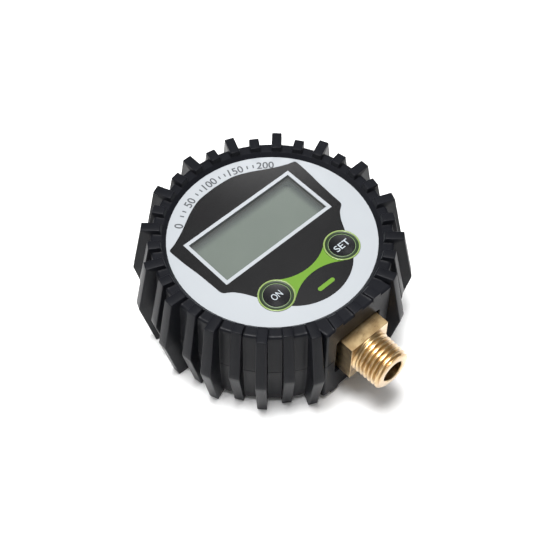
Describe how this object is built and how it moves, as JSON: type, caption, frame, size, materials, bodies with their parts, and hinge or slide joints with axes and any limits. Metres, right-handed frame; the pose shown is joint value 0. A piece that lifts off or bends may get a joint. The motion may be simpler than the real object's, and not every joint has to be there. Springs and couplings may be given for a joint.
{
  "type": "digital pressure gauge",
  "caption": "Round digital pressure gauge in a black ribbed rubber boot, with a display window, press keys and a brass pipe-thread stem at its lower edge.",
  "frame": {"origin": "centre of the case's flat back, on the dial's axis", "axes": "+Z out of the dial, +X to the right of the dial, -Y out along the stem"},
  "size_m": [0.0817, 0.0898, 0.036],
  "materials": {
    "boot_rubber": "matte black moulded rubber with a soft sheen on the ribs",
    "case_plastic": "fine-grained black moulded plastic",
    "label_print": "silver-white printed film with a black field and green bands",
    "key_plastic": "satin dark key film over a moulded cap",
    "clear_pane": "clear polished pane",
    "display_glass": "grey-green liquid crystal glass",
    "holder_plastic": "white moulded plastic",
    "strip_rubber": "layered conductive rubber",
    "board_laminate": "green lacquered glass-fibre laminate",
    "chip_resin": "black moulded resin",
    "passive_ceramic": "fired ceramic with tinned ends",
    "switch_plastic": "moulded switch body",
    "stem_brass": "machined bright brass with turning marks",
    "seal_rubber": "smooth nitrile ring",
    "sensor_steel": "turned steel",
    "ribbon_film": "amber film with copper tracks",
    "cell_jacket": "plain dark jacket over a steel can",
    "contact_steel": "nickel-plated spring steel",
    "screw_steel": "zinc-plated steel"
  },
  "bodies": {
    "gauge": {"rubber_boot": "boot_rubber", "front_case": "case_plastic", "rear_case": "case_plastic", "battery_cover": "case_plastic", "dial_overlay": "label_print", "display_window": "clear_pane", "lcd_panel": "display_glass", "lcd_frame": "holder_plastic", "contact_strip_upper": "strip_rubber", "contact_strip_lower": "strip_rubber", "circuit_board": "board_laminate", "controller_chip": "chip_resin", "amplifier_chip": "chip_resin", "board_passives": "passive_ceramic", "on_switch": "switch_plastic", "function_switch": "switch_plastic", "brass_stem": "stem_brass", "sensor_seal": "seal_rubber", "pressure_sensor": "sensor_steel", "sensor_retaining_ring": "stem_brass", "sensor_ribbon": "ribbon_film", "battery_upper": "cell_jacket", "battery_lower": "cell_jacket", "bridge_contact": "contact_steel", "negative_contact": "contact_steel", "positive_contact": "contact_steel", "battery_spring_left": "contact_steel", "battery_spring_right": "contact_steel", "battery_cover_screw": "screw_steel", "case_screws": "screw_steel", "board_screws": "screw_steel"},
    "on_key": {"on_button": "key_plastic", "on_switch_plunger": "switch_plastic"},
    "function_key": {"function_button": "key_plastic", "function_switch_plunger": "switch_plastic"}
  },
  "joints": [
    {"name": "on_button_press", "type": "slide", "parent": "gauge", "child": "on_key", "axis": [0, 0, -1], "range_m": [0, 0.0004], "stiffness_N_per_m": 1500},
    {"name": "function_button_press", "type": "slide", "parent": "gauge", "child": "function_key", "axis": [0, 0, -1], "range_m": [0, 0.0004], "stiffness_N_per_m": 1500}
  ]
}
